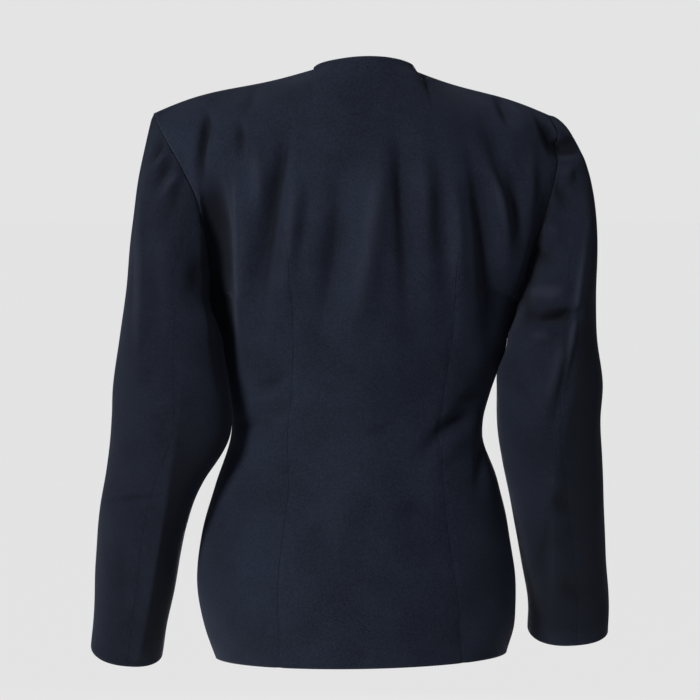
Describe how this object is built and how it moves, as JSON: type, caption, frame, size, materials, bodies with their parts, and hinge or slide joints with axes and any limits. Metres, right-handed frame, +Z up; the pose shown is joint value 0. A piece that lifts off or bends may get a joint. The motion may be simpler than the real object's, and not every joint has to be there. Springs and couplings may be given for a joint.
{
  "type": "military-style blazer",
  "caption": "Worn-shape collarless blazer with wide padded shoulders, long set-in two-piece sleeves, darted waist and plain hip-length hem.",
  "frame": {"origin": "between the shoulders at the base of the neck, where the wearer holds the blazer up", "axes": "+Z up, -Y to the wearer's front, +Y to the back, +X to the wearer's left"},
  "size_m": [0.5836, 0.2521, 0.6622],
  "materials": {
    "cloth": "fine plain weave, slight sheen",
    "button": "dark, softly polished"
  },
  "bodies": {
    "root": {"back": "cloth", "front_left": "cloth", "front_right": "cloth", "top_sleeve_left": "cloth", "under_sleeve_left": "cloth", "top_sleeve_right": "cloth", "under_sleeve_right": "cloth", "button_1": "button", "button_2": "button", "button_3": "button", "button_4": "button", "button_5": "button"}
  },
  "joints": []
}
